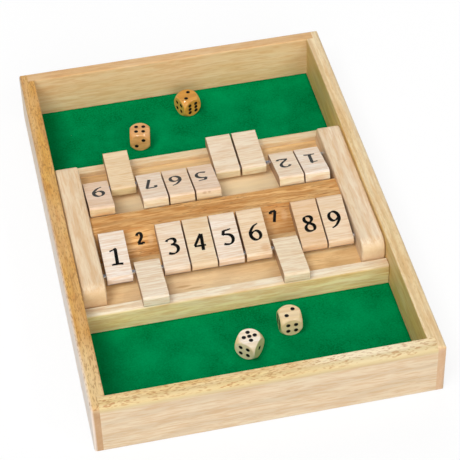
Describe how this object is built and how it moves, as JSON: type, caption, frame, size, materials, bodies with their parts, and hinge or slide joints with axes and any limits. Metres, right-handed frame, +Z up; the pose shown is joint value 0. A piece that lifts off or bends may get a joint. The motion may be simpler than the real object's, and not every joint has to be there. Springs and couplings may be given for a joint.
{
  "type": "shut the box game",
  "caption": "Shallow wooden box with felt dice trays at both ends and a middle bridge carrying two rows of hinged number tiles, for two players.",
  "frame": {"origin": "on the table under the middle of the box", "axes": "+Z up, +Y along the length from the front player's tray to the back player's tray, +X to the front player's right"},
  "size_m": [0.236, 0.348, 0.042],
  "materials": {
    "side_wall_wood": "clear satin lacquer",
    "end_wall_wood": "clear satin lacquer",
    "plywood": "bare sanded plywood",
    "felt": "pressed green felt",
    "deck_wood": "clear satin lacquer",
    "rail_wood": "clear satin lacquer",
    "ridge_wood": "clear satin lacquer",
    "cheek_wood": "clear satin lacquer",
    "rod_steel": "drawn bright steel",
    "tile_wood": "clear satin lacquer, printed figures",
    "pale_die_wood": "clear gloss lacquer, black pips",
    "dark_die_wood": "clear gloss lacquer, black pips"
  },
  "bodies": {
    "box": {"left_wall": "side_wall_wood", "right_wall": "side_wall_wood", "front_wall": "end_wall_wood", "back_wall": "end_wall_wood", "base_panel": "plywood", "front_felt": "felt", "back_felt": "felt", "deck_board": "deck_wood", "front_rail": "rail_wood", "back_rail": "rail_wood", "centre_ridge": "ridge_wood", "left_cheek": "cheek_wood", "right_cheek": "cheek_wood", "front_rod": "rod_steel", "back_rod": "rod_steel"},
    "front_tile_1": {"front_tile_1": "tile_wood"},
    "front_tile_2": {"front_tile_2": "tile_wood"},
    "front_tile_3": {"front_tile_3": "tile_wood"},
    "front_tile_4": {"front_tile_4": "tile_wood"},
    "front_tile_5": {"front_tile_5": "tile_wood"},
    "front_tile_6": {"front_tile_6": "tile_wood"},
    "front_tile_7": {"front_tile_7": "tile_wood"},
    "front_tile_8": {"front_tile_8": "tile_wood"},
    "front_tile_9": {"front_tile_9": "tile_wood"},
    "back_tile_1": {"back_tile_1": "tile_wood"},
    "back_tile_2": {"back_tile_2": "tile_wood"},
    "back_tile_3": {"back_tile_3": "tile_wood"},
    "back_tile_4": {"back_tile_4": "tile_wood"},
    "back_tile_5": {"back_tile_5": "tile_wood"},
    "back_tile_6": {"back_tile_6": "tile_wood"},
    "back_tile_7": {"back_tile_7": "tile_wood"},
    "back_tile_8": {"back_tile_8": "tile_wood"},
    "back_tile_9": {"back_tile_9": "tile_wood"},
    "front_die_1": {"front_die_1": "pale_die_wood"},
    "front_die_2": {"front_die_2": "pale_die_wood"},
    "back_die_1": {"back_die_1": "dark_die_wood"},
    "back_die_2": {"back_die_2": "dark_die_wood"}
  },
  "joints": [
    {"name": "front_tile_1_flip", "type": "hinge", "parent": "box", "child": "front_tile_1", "pos_m": [0, -0.0444, 0.0284], "axis": [1, 0, 0], "range_deg": [0, 163.63]},
    {"name": "front_tile_2_flip", "type": "hinge", "parent": "box", "child": "front_tile_2", "pos_m": [0, -0.0444, 0.0284], "axis": [1, 0, 0], "range_deg": [-163.63, 0]},
    {"name": "front_tile_3_flip", "type": "hinge", "parent": "box", "child": "front_tile_3", "pos_m": [0, -0.0444, 0.0284], "axis": [1, 0, 0], "range_deg": [0, 163.63]},
    {"name": "front_tile_4_flip", "type": "hinge", "parent": "box", "child": "front_tile_4", "pos_m": [0, -0.0444, 0.0284], "axis": [1, 0, 0], "range_deg": [0, 163.63]},
    {"name": "front_tile_5_flip", "type": "hinge", "parent": "box", "child": "front_tile_5", "pos_m": [0, -0.0444, 0.0284], "axis": [1, 0, 0], "range_deg": [0, 163.63]},
    {"name": "front_tile_6_flip", "type": "hinge", "parent": "box", "child": "front_tile_6", "pos_m": [0, -0.0444, 0.0284], "axis": [1, 0, 0], "range_deg": [0, 163.63]},
    {"name": "front_tile_7_flip", "type": "hinge", "parent": "box", "child": "front_tile_7", "pos_m": [0, -0.0444, 0.0284], "axis": [1, 0, 0], "range_deg": [-163.63, 0]},
    {"name": "front_tile_8_flip", "type": "hinge", "parent": "box", "child": "front_tile_8", "pos_m": [0, -0.0444, 0.0284], "axis": [1, 0, 0], "range_deg": [0, 163.63]},
    {"name": "front_tile_9_flip", "type": "hinge", "parent": "box", "child": "front_tile_9", "pos_m": [0, -0.0444, 0.0284], "axis": [1, 0, 0], "range_deg": [0, 163.63]},
    {"name": "back_tile_1_flip", "type": "hinge", "parent": "box", "child": "back_tile_1", "pos_m": [0, 0.0444, 0.0284], "axis": [-1, 0, 0], "range_deg": [0, 163.63]},
    {"name": "back_tile_2_flip", "type": "hinge", "parent": "box", "child": "back_tile_2", "pos_m": [0, 0.0444, 0.0284], "axis": [-1, 0, 0], "range_deg": [0, 163.63]},
    {"name": "back_tile_3_flip", "type": "hinge", "parent": "box", "child": "back_tile_3", "pos_m": [0, 0.0444, 0.0284], "axis": [-1, 0, 0], "range_deg": [-163.63, 0]},
    {"name": "back_tile_4_flip", "type": "hinge", "parent": "box", "child": "back_tile_4", "pos_m": [0, 0.0444, 0.0284], "axis": [-1, 0, 0], "range_deg": [-163.63, 0]},
    {"name": "back_tile_5_flip", "type": "hinge", "parent": "box", "child": "back_tile_5", "pos_m": [0, 0.0444, 0.0284], "axis": [-1, 0, 0], "range_deg": [0, 163.63]},
    {"name": "back_tile_6_flip", "type": "hinge", "parent": "box", "child": "back_tile_6", "pos_m": [0, 0.0444, 0.0284], "axis": [-1, 0, 0], "range_deg": [0, 163.63]},
    {"name": "back_tile_7_flip", "type": "hinge", "parent": "box", "child": "back_tile_7", "pos_m": [0, 0.0444, 0.0284], "axis": [-1, 0, 0], "range_deg": [0, 163.63]},
    {"name": "back_tile_8_flip", "type": "hinge", "parent": "box", "child": "back_tile_8", "pos_m": [0, 0.0444, 0.0284], "axis": [-1, 0, 0], "range_deg": [-163.63, 0]},
    {"name": "back_tile_9_flip", "type": "hinge", "parent": "box", "child": "back_tile_9", "pos_m": [0, 0.0444, 0.0284], "axis": [-1, 0, 0], "range_deg": [0, 163.63]},
    {"name": "front_die_1_lift", "type": "slide", "parent": "box", "child": "front_die_1", "axis": [0, 0, 1], "range_m": [0, 0.06]},
    {"name": "front_die_2_lift", "type": "slide", "parent": "box", "child": "front_die_2", "axis": [0, 0, 1], "range_m": [0, 0.06]},
    {"name": "back_die_1_lift", "type": "slide", "parent": "box", "child": "back_die_1", "axis": [0, 0, 1], "range_m": [0, 0.06]},
    {"name": "back_die_2_lift", "type": "slide", "parent": "box", "child": "back_die_2", "axis": [0, 0, 1], "range_m": [0, 0.06]}
  ]
}
